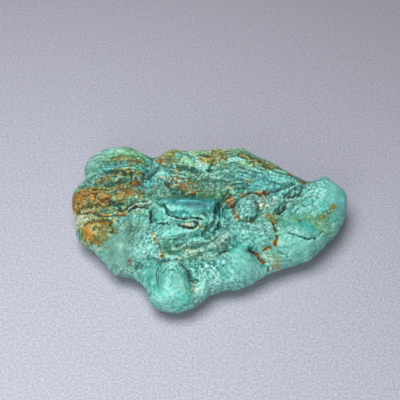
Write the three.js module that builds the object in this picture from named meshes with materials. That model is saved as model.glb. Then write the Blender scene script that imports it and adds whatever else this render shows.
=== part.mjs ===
// Raw turquoise nugget: one flat, lobed natural stone of about 51 x 35 x 12 mm.
//
// Millimetres, +Z up. The origin lies on the face the stone rests on, under the middle of
// its plan. +X runs along its length, and -Y is its smooth, drooping front edge.
//
// The stone is one closed skin of two sheets that meet at the girth, its widest section
// seen from above. The upper sheet, the crown, carries the swells and furrows of the
// weathered top. The lower sheet, the belly, is rounded and worn flat where it rests.

import * as THREE from "three";

// ---- Driving dimensions ----

const CELLS_ALONG = 50; // grid cells of each sheet from the left end to the right end
const CELLS_ACROSS = 34; // and from the front edge to the back edge
const RIM_LINES = [0, 0.3, 0.65]; // grid lines nearest the girth, in cells, to round it finely
const EVENING_SWEEPS = 80; // passes that even out the grid, which unfolds it beside notches
const CROWN_HEIGHT = 8.8; // height of the plain top, before its swells and furrows
const CROWN_SLOPE = 0.07; // rise of the plain top per millimetre towards the back
const FRONT_SHOULDER = 7.0; // how far in from the girth the top rounds over, at the front
const BACK_SHOULDER = 4.0; // and at the back
const BELLY_SHOULDER = 11.0; // the same for the underside
const BELLY_HEIGHT = -0.7; // where the belly would reach if it weren't worn flat at 0

// ---- The girth: [x, y, height] along each stretch, anticlockwise seen from above ----

const FRONT = [
  [-21.0, -4.4, 4.2],
  [-18.8, -7.0, 4.2],
  [-16.7, -9.5, 4.0],
  [-13.4, -10.2, 3.9],
  [-11.2, -12.6, 3.8],
  [-10.6, -15.2, 3.7],
  [-8.4, -17.1, 3.6],
  [-5.0, -17.1, 3.6],
  [-2.1, -15.8, 3.6],
  [0.8, -13.1, 3.6],
  [4.1, -12.6, 3.7],
  [7.0, -11.6, 3.8],
  [9.7, -9.7, 3.9],
  [13.4, -7.9, 4.1],
  [17.6, -6.6, 4.3],
];
const RIGHT = [
  [20.2, -4.0, 4.4],
  [23.2, -0.5, 4.5],
  [25.2, 4.5, 5.0],
  [24.9, 7.0, 5.6],
];
const BACK = [
  [23.3, 8.5, 6.0],
  [20.8, 10.3, 6.4],
  [19.0, 9.0, 6.6],
  [17.0, 9.1, 7.0],
  [14.4, 10.9, 7.2],
  [11.9, 12.9, 7.4],
  [8.6, 14.7, 7.5],
  [6.4, 16.4, 7.5],
  [1.0, 15.5, 7.4],
  [-4.0, 15.3, 7.2],
  [-8.0, 15.7, 6.8],
  [-9.8, 14.6, 6.6],
  [-11.4, 15.2, 6.4],
  [-13.6, 16.4, 6.2],
  [-15.8, 17.4, 6.2],
  [-19.0, 17.0, 6.0],
  [-21.7, 15.9, 5.8],
];
const LEFT = [
  [-23.4, 14.0, 5.6],
  [-23.3, 10.7, 5.4],
  [-25.0, 8.6, 5.2],
  [-25.4, 5.4, 5.0],
  [-24.5, 2.2, 4.8],
  [-24.1, -0.6, 4.4],
  [-23.1, -2.7, 4.2],
];

// ---- Swells: at [x, y], half-axes size [a, b], turned by degrees, rising by millimetres ----
// edge is the share of the half-axis over which the swell falls away: 1 is a hump, 0.3 a plateau.

const CROWN_SWELLS = [
  { at: [-23, 3.6], size: [13, 17], turn: 0, rise: -2.4, edge: 1 }, // the left-hand side lies lower
  { at: [24, -1.4], size: [12, 12], turn: 0, rise: -1.0, edge: 1 }, // so does the right-hand end
  { at: [-3.6, -2.0], size: [7.6, 5.4], turn: -6, rise: 1.7, edge: 0.6 }, // plate in the middle
  { at: [-3.4, 0.7], size: [6.6, 2.9], turn: -3, rise: 1.7, edge: 0.7 }, // block on that plate
  { at: [-16.5, 12.2], size: [7.5, 4.6], turn: 8, rise: 1.6, edge: 1 }, // back left lobe
  { at: [-21.8, 4.8], size: [4.4, 4.0], turn: 0, rise: 1.2, edge: 0.9 }, // rusty knob, left end
  { at: [-20.4, -2.2], size: [4.2, 2.6], turn: -10, rise: 1.2, edge: 1 }, // rusty knob below it
  { at: [-16.6, -6.2], size: [5.4, 4.2], turn: -35, rise: 0.8, edge: 1 }, // front left cheek
  { at: [-6.4, -12.8], size: [4.4, 6.0], turn: 4, rise: 1.8, edge: 0.9 }, // front toe
  { at: [-0.4, -11.2], size: [3.2, 4.4], turn: 15, rise: 1.2, edge: 0.9 }, // fold beside the toe
  { at: [5.4, -9.6], size: [5.4, 4.2], turn: 22, rise: 1.5, edge: 0.9 }, // front middle lobe
  { at: [6.8, -4.8], size: [5.0, 3.6], turn: -4, rise: 0.9, edge: 0.5 }, // granular flat
  { at: [6.3, 1.1], size: [2.7, 3.2], turn: 0, rise: 1.0, edge: 0.7 }, // small knob behind it
  { at: [20.6, 3.6], size: [6.4, 7.0], turn: 20, rise: 2.2, edge: 1 }, // right-hand end lobe
  { at: [16.6, -5.0], size: [7.4, 4.8], turn: 24, rise: 1.3, edge: 0.9 }, // front right lobe
  { at: [-11.2, -6.0], size: [3.6, 4.4], turn: 10, rise: 0.9, edge: 0.8 }, // left of the middle
];

const BELLY_SWELLS = [
  { at: [-15, 9.6], size: [10, 8], turn: 10, rise: 1.6, edge: 1 }, // hollow under the back left lobe
  { at: [17, -2.4], size: [10, 8], turn: 30, rise: 1.6, edge: 1 }, // hollow under the right-hand end
  { at: [-6, -11.4], size: [7, 6], turn: 0, rise: 1.4, edge: 1 }, // hollow under the front toe
  { at: [10, 9.6], size: [7, 5], turn: -30, rise: 1.0, edge: 1 }, // hollow under the back edge
];

// ---- Ridges and furrows: half-width, and height or depth, along a path of [x, y] ----

const CROWN_RIDGES = [
  {
    path: [[-8.2, 13.0], [-1.7, 13.0], [5.6, 12.0], [10.7, 9.0], [15.5, 6.6]],
    width: 4.0,
    height: 1.7,
  }, // along the back edge
];

const CROWN_FURROWS = [
  {
    path: [[6.6, 6.0], [3.6, 3.0], [2.6, 0.3], [2.0, -2.5], [0.0, -4.6], [-2.6, -6.0], [-6.8, -7.0]],
    width: 2.0,
    depth: 1.7,
  }, // curls round the right and the front of the middle plate
  { path: [[-10.7, 5.4], [-5.3, 5.3], [0.5, 5.0]], width: 3.0, depth: 0.9 }, // behind the block
  { path: [[-23.4, 9.6], [-18.2, 8.8], [-13.6, 7.7], [-10.7, 5.4]], width: 2.4, depth: 1.0 },
  { path: [[-9.8, 15.8], [-10.8, 12.0], [-11.9, 8.0]], width: 2.2, depth: 1.5 }, // back notch
  { path: [[-4.5, -9.3], [-3.4, -11.8], [-2.2, -14.6]], width: 1.8, depth: 1.1 }, // right of the toe
  {
    path: [[-13.9, -9.6], [-10.4, -9.3], [-8.1, -9.0], [-4.3, -9.6], [-0.8, -8.8], [2.1, -7.5], [3.9, -5.7]],
    width: 1.9,
    depth: 0.9,
  }, // behind the front lobes
  { path: [[4.4, -6.0], [7.9, -7.6], [10.4, -9.8]], width: 1.9, depth: 1.1 },
  { path: [[-9.4, -9.3], [-9.8, -11.4], [-9.6, -13.8]], width: 1.8, depth: 0.7 }, // left of the toe
  { path: [[11.6, -0.8], [14.0, 2.2], [16.6, 6.2], [18.4, 9.2]], width: 2.2, depth: 1.1 },
  { path: [[-18.8, 2.7], [-15.1, 1.8], [-11.5, 1.4], [-10.0, -0.8]], width: 1.9, depth: 0.8 },
  { path: [[-14.1, -1.6], [-13.6, -6.0], [-13.9, -9.2]], width: 2.0, depth: 0.6 },
];

// ---- Helpers ----

const { clamp, degToRad, lerp, smoothstep } = THREE.MathUtils;
const sum = (features, value) => features.reduce((total, feature) => total + value(feature), 0);

// Falls smoothly from 1 to 0 as distance goes from 1 - edge to 1.
const falloff = (distance, edge = 1) => 1 - smoothstep(distance, 1 - edge, 1);

function swellAt(x, y, { at, size, turn, rise, edge }) {
  const [cos, sin] = [Math.cos(degToRad(turn)), Math.sin(degToRad(turn))];
  const [dx, dy] = [x - at[0], y - at[1]];
  const along = (dx * cos + dy * sin) / size[0];
  const across = (dy * cos - dx * sin) / size[1];
  return rise * falloff(Math.hypot(along, across), edge);
}

// The distance from a point to a path, and how far along the nearest segment's ends it lies.
function nearestOnPath(x, y, path) {
  let nearest = { distance: Infinity };
  for (let i = 1; i < path.length; i++) {
    const [ax, ay] = path[i - 1];
    const [bx, by] = [path[i][0] - ax, path[i][1] - ay];
    const share = clamp(((x - ax) * bx + (y - ay) * by) / (bx * bx + by * by), 0, 1);
    const distance = Math.hypot(x - ax - share * bx, y - ay - share * by);
    if (distance < nearest.distance) nearest = { distance, segment: i, share };
  }
  return nearest;
}

const alongPath = (x, y, { path, width }) => falloff(nearestOnPath(x, y, path).distance / width);

// ---- The girth as one closed curve ----

const STRETCHES = [FRONT, RIGHT, BACK, LEFT];
const GIRTH = STRETCHES.flat();
const STEPS = 24; // straight steps between two girth points, where its length is measured
const girthCurve = new THREE.CatmullRomCurve3(
  GIRTH.map((point) => new THREE.Vector3(...point)),
  true,
  "centripetal",
);
girthCurve.arcLengthDivisions = GIRTH.length * STEPS;
const girthLine = girthCurve.getPoints(girthCurve.arcLengthDivisions).map((p) => p.toArray());

// Where each stretch starts and ends, as shares of the girth's whole length.
const lengths = girthCurve.getLengths();
const starts = STRETCHES.map((_, i) => lengths[STRETCHES.slice(0, i).flat().length * STEPS]);
const [front, right, back, left] = starts.map((start, i) => {
  const end = starts[i + 1] ?? lengths.at(-1);
  return (share) => girthCurve.getPointAt(lerp(start, end, share) / lengths.at(-1));
});

// The point of a Coons patch between the four stretches, at u from the left end to the right
// and v from the front edge to the back.
function patchPoint(u, v) {
  const ruled = (a, b, share) => a.clone().lerp(b, share);
  const alongFront = ruled(front(u), back(1 - u), v);
  const alongSides = ruled(left(1 - v), right(v), u);
  const corners = ruled(ruled(front(0), right(0), u), ruled(left(0), back(0), u), v);
  return alongFront.add(alongSides).sub(corners);
}

// ---- The two sheets ----

// 0 at the girth, rounding up to 1 at a shoulder's width in from it.
const dome = (inset, shoulder) => Math.sqrt(1 - (1 - Math.min(1, inset / shoulder)) ** 2);

function sheetHeights(x, y) {
  const { distance, segment, share } = nearestOnPath(x, y, girthLine);
  const girthHeight = lerp(girthLine[segment - 1][2], girthLine[segment][2], share);
  const shoulder = lerp(FRONT_SHOULDER, BACK_SHOULDER, smoothstep(y, -10, 10));
  const crown =
    CROWN_HEIGHT +
    CROWN_SLOPE * y +
    sum(CROWN_SWELLS, (swell) => swellAt(x, y, swell)) +
    sum(CROWN_RIDGES, (ridge) => ridge.height * alongPath(x, y, ridge)) -
    sum(CROWN_FURROWS, (furrow) => furrow.depth * alongPath(x, y, furrow));
  const belly = BELLY_HEIGHT + sum(BELLY_SWELLS, (swell) => swellAt(x, y, swell));
  return {
    top: lerp(girthHeight, crown, dome(distance, shoulder)),
    bottom: Math.max(0, lerp(girthHeight, belly, dome(distance, BELLY_SHOULDER))),
  };
}

// Grid lines from 0 to 1, one a cell and closer together near both ends.
function gridLines(cells) {
  const inner = Array.from({ length: cells - 1 }, (_, i) => i + 1);
  const far = RIM_LINES.map((line) => cells - line).reverse();
  return [...RIM_LINES, ...inner, ...far].map((line) => line / cells);
}

// The patch's points, row by row, each inner one moved to the weighted middle of its four
// neighbours again and again, so that the closer lines keep their spacing.
function evenGrid(along, across) {
  const grid = across.map((v) => along.map((u) => patchPoint(u, v)));
  for (let sweep = 0; sweep < EVENING_SWEEPS; sweep++) {
    for (let row = 1; row < across.length - 1; row++) {
      for (let column = 1; column < along.length - 1; column++) {
        const neighbours = [
          [grid[row][column - 1], CELLS_ALONG * (along[column] - along[column - 1])],
          [grid[row][column + 1], CELLS_ALONG * (along[column + 1] - along[column])],
          [grid[row - 1][column], CELLS_ACROSS * (across[row] - across[row - 1])],
          [grid[row + 1][column], CELLS_ACROSS * (across[row + 1] - across[row])],
        ];
        const middle = new THREE.Vector3();
        neighbours.forEach(([point, spacing]) => middle.addScaledVector(point, 1 / spacing));
        grid[row][column] = middle.divideScalar(sum(neighbours, ([, spacing]) => 1 / spacing));
      }
    }
  }
  return grid;
}

// Whether the grid's cell is cut from its first vertex to its third. The cut runs along the shorter
// diagonal, except in the patch's corner cells, where it starts at the patch's corner.
function cutFromFirst(grid, row, column) {
  const atEnd = [row === 1 || row === grid.length - 1, column === 1 || column === grid[0].length - 1];
  if (atEnd[0] && atEnd[1]) return (row === 1) === (column === 1);
  const [first, third] = [grid[row - 1][column - 1], grid[row][column]];
  const [second, fourth] = [grid[row - 1][column], grid[row][column - 1]];
  return first.distanceTo(third) <= second.distanceTo(fourth);
}

// ---- The stone ----

function nuggetGeometry() {
  const along = gridLines(CELLS_ALONG);
  const across = gridLines(CELLS_ACROSS);
  const grid = evenGrid(along, across);
  const positions = [];
  const indices = [];
  const crown = []; // vertex number of each grid point of the crown
  const belly = []; // the same for the belly, which shares the girth's vertices
  const addVertex = (x, y, z) => positions.push(x, y, z) / 3 - 1;

  for (let row = 0; row < across.length; row++) {
    for (let column = 0; column < along.length; column++) {
      const { x, y, z } = grid[row][column];
      const onGirth = along[column] % 1 === 0 || across[row] % 1 === 0;
      const { top, bottom } = sheetHeights(x, y);
      crown.push(addVertex(x, y, onGirth ? z : top));
      belly.push(onGirth ? crown.at(-1) : addVertex(x, y, bottom));
    }
  }

  for (let row = 1; row < across.length; row++) {
    for (let column = 1; column < along.length; column++) {
      const corner = row * along.length + column;
      const cell = [corner - along.length - 1, corner - along.length, corner, corner - 1];
      const [a, b, c, d] = cell.map((place) => crown[place]);
      const [e, f, g, h] = cell.map((place) => belly[place]);
      if (cutFromFirst(grid, row, column)) {
        indices.push(a, b, c, a, c, d);
        indices.push(e, g, f, e, h, g);
      } else {
        indices.push(a, b, d, b, c, d);
        indices.push(e, h, f, f, h, g);
      }
    }
  }

  const geometry = new THREE.BufferGeometry();
  geometry.setAttribute("position", new THREE.Float32BufferAttribute(positions, 3));
  geometry.setIndex(indices);
  geometry.computeBoundingBox();
  const middle = geometry.boundingBox.getCenter(new THREE.Vector3());
  geometry.translate(-middle.x, -middle.y, 0);
  geometry.computeVertexNormals();
  return geometry;
}

const turquoise = new THREE.MeshStandardMaterial({
  color: new THREE.Color(0.33, 0.62, 0.55),
  roughness: 0.5,
  metalness: 0,
});

const nugget = new THREE.Mesh(nuggetGeometry(), turquoise);
nugget.name = "turquoise_nugget";

const group = new THREE.Group();
group.add(nugget);

export default group;
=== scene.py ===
"""A raw turquoise nugget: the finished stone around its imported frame.

Lengths in the tables are millimetres in the frame's own axes (+X to the right, +Y away from the
front, +Z up) and become metres when the mesh is handed over.
"""
import math
from itertools import product

import bpy
import bmesh
import numpy as np
from mathutils import Matrix, Vector


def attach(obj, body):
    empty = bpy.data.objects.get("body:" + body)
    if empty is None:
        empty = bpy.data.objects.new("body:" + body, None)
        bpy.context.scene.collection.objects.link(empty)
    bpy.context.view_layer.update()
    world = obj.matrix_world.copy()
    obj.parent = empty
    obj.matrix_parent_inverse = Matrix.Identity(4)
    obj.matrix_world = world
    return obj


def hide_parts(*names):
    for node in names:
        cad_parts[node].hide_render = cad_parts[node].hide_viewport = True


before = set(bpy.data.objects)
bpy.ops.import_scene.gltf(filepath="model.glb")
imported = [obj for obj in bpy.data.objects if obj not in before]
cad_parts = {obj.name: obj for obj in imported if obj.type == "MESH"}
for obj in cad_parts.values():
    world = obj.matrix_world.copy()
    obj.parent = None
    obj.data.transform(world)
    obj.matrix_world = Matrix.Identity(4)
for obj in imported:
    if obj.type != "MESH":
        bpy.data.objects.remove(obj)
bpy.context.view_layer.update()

NODE = "turquoise_nugget"
MM = 0.001

# ------------ camera, floor and light

CAMERA_ELEVATION = math.radians(50)
CAMERA_DISTANCE = 200 * MM
CAMERA_LENS = 100  # millimetres, as is the sensor
CAMERA_SENSOR = 36
CAMERA_AIM = Vector((-1.7, 3.6, 8.3)) * MM
NEAREST_SEEN = 10 * MM

FLOOR_HALF = 1.5  # half the floor's side, in metres
FLOOR_ROUGHNESS = 0.85
FLOOR_GRAIN = 2600  # grains of the floor in a metre
FLOOR_DARK = (164, 165, 180)
FLOOR_LIGHT = (196, 197, 212)

# Square lamps: name, then in metres the place, the point it faces and the side, then the power
# in watts and the spread in degrees.
LAMPS = [
    ("key", (-0.062, -0.030, 0.25), (-0.045, -0.06, 0), 0.17, 0.295, 110),
    ("front", (-0.06, -0.22, 0.13), (0, -0.03, 0), 0.16, 0.11, 120),
]
LAMP_COLOUR = (1.0, 0.99, 0.98)
SKY_COLOUR = (1.0, 0.99, 0.97, 1.0)
SKY_STRENGTH = 0.095


def add_camera():
    """A camera that looks down on the stone from the front."""
    data = bpy.data.cameras.new("camera")
    data.lens = CAMERA_LENS
    data.sensor_width = CAMERA_SENSOR
    data.clip_start = NEAREST_SEEN
    camera = bpy.data.objects.new("camera", data)
    away = Vector((0, -math.cos(CAMERA_ELEVATION), math.sin(CAMERA_ELEVATION)))
    camera.location = CAMERA_AIM + away * CAMERA_DISTANCE
    camera.rotation_euler = (math.pi / 2 - CAMERA_ELEVATION, 0, 0)
    bpy.context.scene.collection.objects.link(camera)
    bpy.context.scene.camera = camera


def srgb(red, green, blue):
    """A screen colour, 0 to 255, as the linear colour that the shaders use."""
    parts = [value / 255 for value in (red, green, blue)]
    return tuple(p / 12.92 if p <= 0.04045 else ((p + 0.055) / 1.055) ** 2.4 for p in parts) + (1.0,)


def add_floor():
    """A plain pale floor with a faint grain."""
    mesh = bpy.data.meshes.new("floor")
    corners = [(x * FLOOR_HALF, y * FLOOR_HALF, 0) for x, y in ((-1, -1), (1, -1), (1, 1), (-1, 1))]
    mesh.from_pydata(corners, [], [(0, 1, 2, 3)])
    floor = bpy.data.objects.new("floor", mesh)
    bpy.context.scene.collection.objects.link(floor)
    material = bpy.data.materials.new("floor")
    material.use_nodes = True
    nodes, links = material.node_tree.nodes, material.node_tree.links
    shader = nodes["Principled BSDF"]
    shader.inputs["Roughness"].default_value = FLOOR_ROUGHNESS
    where = nodes.new("ShaderNodeTexCoord")
    grain = nodes.new("ShaderNodeTexNoise")
    grain.inputs["Scale"].default_value = FLOOR_GRAIN
    ramp = nodes.new("ShaderNodeValToRGB")
    for stop, place, shade in zip(ramp.color_ramp.elements, (0.3, 0.7), (FLOOR_DARK, FLOOR_LIGHT)):
        stop.position = place
        stop.color = srgb(*shade)
    links.new(where.outputs["Object"], grain.inputs["Vector"])
    links.new(grain.outputs["Fac"], ramp.inputs["Fac"])
    links.new(ramp.outputs["Color"], shader.inputs["Base Color"])
    mesh.materials.append(material)


def add_lamp(name, place, aim, side, power, spread):
    """A square lamp at one place that faces another."""
    data = bpy.data.lights.new(name, "AREA")
    data.size = side
    data.energy = power
    data.spread = math.radians(spread)
    data.color = LAMP_COLOUR
    lamp = bpy.data.objects.new(name, data)
    lamp.location = place
    lamp.rotation_euler = (Vector(aim) - Vector(place)).to_track_quat("-Z", "Y").to_euler()
    bpy.context.scene.collection.objects.link(lamp)


def add_light():
    """Soft studio light: a lamp above the left side, a fainter one low in front and a faint sky."""
    for lamp in LAMPS:
        add_lamp(*lamp)
    world = bpy.data.worlds.new("sky")
    world.use_nodes = True
    sky = world.node_tree.nodes["Background"]
    sky.inputs["Color"].default_value = SKY_COLOUR
    sky.inputs["Strength"].default_value = SKY_STRENGTH
    bpy.context.scene.world = world


# ------------ noise

SHUFFLED = 256  # entries of a noise's shuffled table, a power of two
OFFSET_RANGE = 200  # how far a noise may be shifted, in cells
NOISE_GAIN = 1.7  # brings the noise up to about -1 to 1
OCTAVE_KEEP = 0.55  # strength of each smaller size of noise, as a share of the last


def table_entry(order, corner):
    """The shuffled table's entry for each corner of the grid of cells."""
    last = SHUFFLED - 1
    first = order[corner[:, 0] & last]
    second = order[(first + corner[:, 1]) & last]
    return order[(second + corner[:, 2]) & last]


def unit_noise(points, cell, seed):
    """Smooth noise at the points, about -1 to 1, whose features are one cell across."""
    random = np.random.default_rng(seed)
    order = random.permutation(SHUFFLED)
    slopes = random.normal(size=(SHUFFLED, 3))
    slopes /= np.linalg.norm(slopes, axis=1, keepdims=True)
    scaled = points / cell + random.uniform(0, OFFSET_RANGE, 3)
    corner = np.floor(scaled).astype(int)
    inside = scaled - corner
    fade = inside ** 3 * (inside * (inside * 6 - 15) + 10)
    total = np.zeros(len(points))
    for step in product((0, 1), repeat=3):
        slope = slopes[table_entry(order, corner + step)]
        share = np.prod(np.where(step, fade, 1 - fade), axis=1)
        total += share * (slope * (inside - step)).sum(axis=1)
    return total * NOISE_GAIN


def rough_noise(points, cell, seed, octaves):
    """Several sizes of smooth noise added up, each half the size of the last and fainter."""
    total = np.zeros(len(points))
    most = 0
    for octave in range(octaves):
        total += OCTAVE_KEEP ** octave * unit_noise(points, cell / 2 ** octave, seed + octave)
        most += OCTAVE_KEEP ** octave
    return total / most


def grain_distance(points, cell, seed):
    """The distance from each point to the nearest of scattered grains, one to a cell, in cells."""
    random = np.random.default_rng(seed)
    order = random.permutation(SHUFFLED)
    jitter = random.uniform(0, 1, size=(SHUFFLED, 3))
    scaled = points / cell + random.uniform(0, OFFSET_RANGE, 3)
    corner = np.floor(scaled).astype(int)
    nearest = np.full(len(points), np.inf)
    for step in product((-1, 0, 1), repeat=3):
        at = corner + step
        grain = at + jitter[table_entry(order, at)]
        nearest = np.minimum(nearest, np.linalg.norm(grain - scaled, axis=1))
    return nearest


def smooth_step(low, high, value):
    """0 below low, 1 above high, and a smooth rise between them."""
    part = np.clip((value - low) / (high - low), 0, 1)
    return part * part * (3 - 2 * part)


# ------------ the fine mesh

SAME_POINT = 0.001  # vertices closer than this are one, in millimetres
FLAT_ENOUGH = 1.2  # radians by which two triangles may differ and still be joined
ROUNDING_LEVELS = 2
VOXEL = 0.21  # side of the fine mesh's faces, in millimetres
EVENING_ROUNDS = 6


def fine_stone():
    """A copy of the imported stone, in millimetres, with rounded facets and a fine even mesh."""
    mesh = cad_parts[NODE].data.copy()
    mesh.transform(Matrix.Scale(1 / MM, 4))
    shape = bmesh.new()
    shape.from_mesh(mesh)
    bmesh.ops.remove_doubles(shape, verts=shape.verts, dist=SAME_POINT)
    bmesh.ops.join_triangles(
        shape,
        faces=shape.faces,
        angle_face_threshold=FLAT_ENOUGH,
        angle_shape_threshold=FLAT_ENOUGH,
    )
    shape.to_mesh(mesh)
    shape.free()
    stone = bpy.data.objects.new("stone", mesh)
    bpy.context.scene.collection.objects.link(stone)
    rounding = stone.modifiers.new("rounding", "SUBSURF")
    rounding.levels = ROUNDING_LEVELS
    grid = stone.modifiers.new("grid", "REMESH")
    grid.mode = "VOXEL"
    grid.voxel_size = VOXEL
    evening = stone.modifiers.new("evening", "SMOOTH")
    evening.iterations = EVENING_ROUNDS
    graph = bpy.context.evaluated_depsgraph_get()
    fine = bpy.data.meshes.new_from_object(stone.evaluated_get(graph))
    stone.modifiers.clear()
    stone.data = fine
    return stone


# ------------ finding places on the stone

WOBBLE = 0.22  # how far paths wander sideways, in millimetres
WOBBLE_CELLS = (1.3, 0.6)
WOBBLE_SEEDS = (81, 82, 83)
FACING_UP = 0.05  # least upward part of a normal on the upper side
OVAL_FALL = 0.7  # an oval's share falls as exp(-0.7 d ** 2.6), which is 0.5 at its rim, d = 1
OVAL_POWER = 1.3


def turned(offset, degrees):
    """How far flat offsets reach forward and sideways along axes turned by an angle."""
    angle = math.radians(degrees)
    forward = offset[:, 0] * math.cos(angle) + offset[:, 1] * math.sin(angle)
    sideways = offset[:, 1] * math.cos(angle) - offset[:, 0] * math.sin(angle)
    return forward, sideways


class Surface:
    """The stone's vertices, and the tools that place the tables' features on them."""

    def __init__(self, mesh):
        self.mesh = mesh
        count = len(mesh.vertices)
        edges = np.empty(len(mesh.edges) * 2, dtype=int)
        mesh.edges.foreach_get("vertices", edges)
        edges = edges.reshape(-1, 2)
        self.starts = np.concatenate([edges[:, 0], edges[:, 1]])
        self.ends = np.concatenate([edges[:, 1], edges[:, 0]])
        self.degree = np.bincount(self.starts, minlength=count)
        self.read()
        broad, narrow = WOBBLE_CELLS
        drift = [
            unit_noise(self.places, broad, seed) + 0.5 * unit_noise(self.places, narrow, seed + 3)
            for seed in WOBBLE_SEEDS
        ]
        self.wobble = WOBBLE * np.stack(drift, axis=1)

    def read(self):
        """Read the vertices' places and normals from the mesh."""
        places = np.empty(len(self.mesh.vertices) * 3)
        normals = np.empty(len(self.mesh.vertices) * 3)
        self.mesh.vertices.foreach_get("co", places)
        self.mesh.vertex_normals.foreach_get("vector", normals)
        self.places = places.reshape(-1, 3)
        self.normals = normals.reshape(-1, 3)
        self.upper = np.flatnonzero(self.normals[:, 2] > FACING_UP)

    def move(self, shift):
        """Move the vertices, keep them on or above the ground and read them again."""
        self.places += shift
        self.places[:, 2] = np.maximum(self.places[:, 2], 0)
        self.mesh.vertices.foreach_set("co", self.places.ravel())
        self.mesh.update()
        self.read()

    def raise_by(self, height):
        """Move each vertex out along its normal."""
        self.move(self.normals * height[:, None])

    def evened(self, rounds):
        """The vertices' places, averaged with their neighbours' again and again."""
        places = self.places.copy()
        for _ in range(rounds):
            for axis in range(3):
                sums = np.bincount(self.starts, weights=places[self.ends, axis], minlength=len(places))
                places[:, axis] = 0.5 * (places[:, axis] + sums / self.degree)
        return places

    def drop(self, flat):
        """The point of the upper side straight over or under each flat (x, y) point."""
        above = self.places[self.upper]
        nearest = [np.argmin((above[:, 0] - x) ** 2 + (above[:, 1] - y) ** 2) for x, y in flat]
        return above[nearest]

    def along(self, path, reach):
        """The vertices near a path, with their gap to it, way along it and its direction and length."""
        line = self.drop(smooth_path(path))
        inside = (self.places > line.min(axis=0) - reach) & (self.places < line.max(axis=0) + reach)
        near = np.flatnonzero(inside.all(axis=1))
        spots = self.places[near] + self.wobble[near]
        gap = np.full(len(near), np.inf)
        way = np.zeros(len(near))
        heading = np.zeros((len(near), 3))
        travelled = 0.0
        for start, end in zip(line[:-1], line[1:]):
            length = np.linalg.norm(end - start)
            if length == 0:
                continue
            ahead = (end - start) / length
            part = np.clip((spots - start) @ ahead, 0, length)
            distance = np.linalg.norm(spots - start - part[:, None] * ahead, axis=1)
            closer = distance < gap
            gap[closer] = distance[closer]
            way[closer] = travelled + part[closer]
            heading[closer] = ahead
            travelled += length
        kept = gap < reach
        return near[kept], gap[kept], way[kept], heading[kept], travelled

    def patch(self, x, y, along, across, turn=0):
        """How far each vertex lies inside a soft-edged oval: 1 at its middle, 0.5 at its rim."""
        offset = self.places - self.drop([(x, y)])[0]
        forward, sideways = turned(offset, turn)
        high = offset[:, 2] / max(along, across)
        squared = (forward / along) ** 2 + (sideways / across) ** 2 + high ** 2
        return np.exp(-OVAL_FALL * squared ** OVAL_POWER)

    def patches(self, rows):
        """The strongest share that any of several ovals gives, each times its strength."""
        share = np.zeros(len(self.places))
        for x, y, along, across, strength, *turn in rows:
            share = np.maximum(share, strength * self.patch(x, y, along, across, *turn))
        return share


PATH_STEPS = 6


def smooth_path(path):
    """Points along a smooth curve through the given flat points."""
    points = np.array(path, float)
    padded = np.vstack([2 * points[0] - points[1], points, 2 * points[-1] - points[-2]])
    curve = []
    for before, start, end, after in zip(padded, padded[1:], padded[2:], padded[3:]):
        for part in np.arange(PATH_STEPS) / PATH_STEPS:
            curve.append(0.5 * (2 * start + (end - before) * part
                                + (2 * before - 5 * start + 4 * end - after) * part ** 2
                                + (3 * start - before - 3 * end + after) * part ** 3))
    return np.array(curve + [points[-1]])


# ------------ relief

# Flat-topped blocks: x, y, half length, half width, turn, height of the top, its fall to the front.
SLABS = [
    (-3.0, 0.2, 5.8, 1.9, -2, 11.4, 0.10),
]
SLAB_REACH_BACK = 2  # half widths that a block reaches back, where it sinks into the stone
SLAB_BACK_FALL = 1.1  # fall per millimetre behind the back brink
SLAB_BACK_BRINK = 0.4  # half widths from the middle back to it
SLAB_FRONT_FALL = 1.1  # fall per millimetre in front of the front brink
SLAB_FRONT_BRINK = 0.45  # half widths from the middle forward to it
SLAB_BRINK_SKEW = 0.25  # how much further back it lies per millimetre to the right
SLAB_RAGGED = 0.16  # unevenness of the outline, as a share of the block's size
SLAB_RIM_FULL = 0.82  # the block is at its full height inside this share of its size
SLAB_RIM_RIGHT = 0.3  # and inside this much less at its right-hand end
SLAB_RIM_NONE = 1.15  # outside this share the stone is as it was
SLAB_EVENED = (1.2, 1.5)  # it is evened out inside the first share, and not outside the second
SLAB_EVEN_ROUNDS = 8

# Swells: x, y, half length, half width, height, and degrees of turn where they are turned.
SWELLS = [
    (-6.5, -5, 3.2, 1, 0.3, -8), (-22.5, 4.9, 2.5, 2.3, 0.8), (-19.4, 5.7, 1.8, 1.4, 0.5),
    (-21.6, -2.4, 2.2, 2.2, 0.6), (-22.8, 1, 1.6, 1.1, 0.4), (-13.4, 7.2, 2.4, 1.3, 0.5),
    (-15, 4.6, 3.4, 0.8, 0.4, 5), (-9.8, 8.8, 1.6, 0.9, 0.4, 20), (-5.4, 7, 1.4, 1.2, 0.4),
    (6.4, 1, 1.8, 2.1, 0.9), (-1.4, 9.6, 1.1, 0.7, 0.4, -40), (-3.6, 10.9, 2, 0.6, 0.4, -35),
    (-18.6, 10.6, 4, 0.9, 0.3), (-17, 14, 4, 0.8, 0.3, -4),
]

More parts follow.
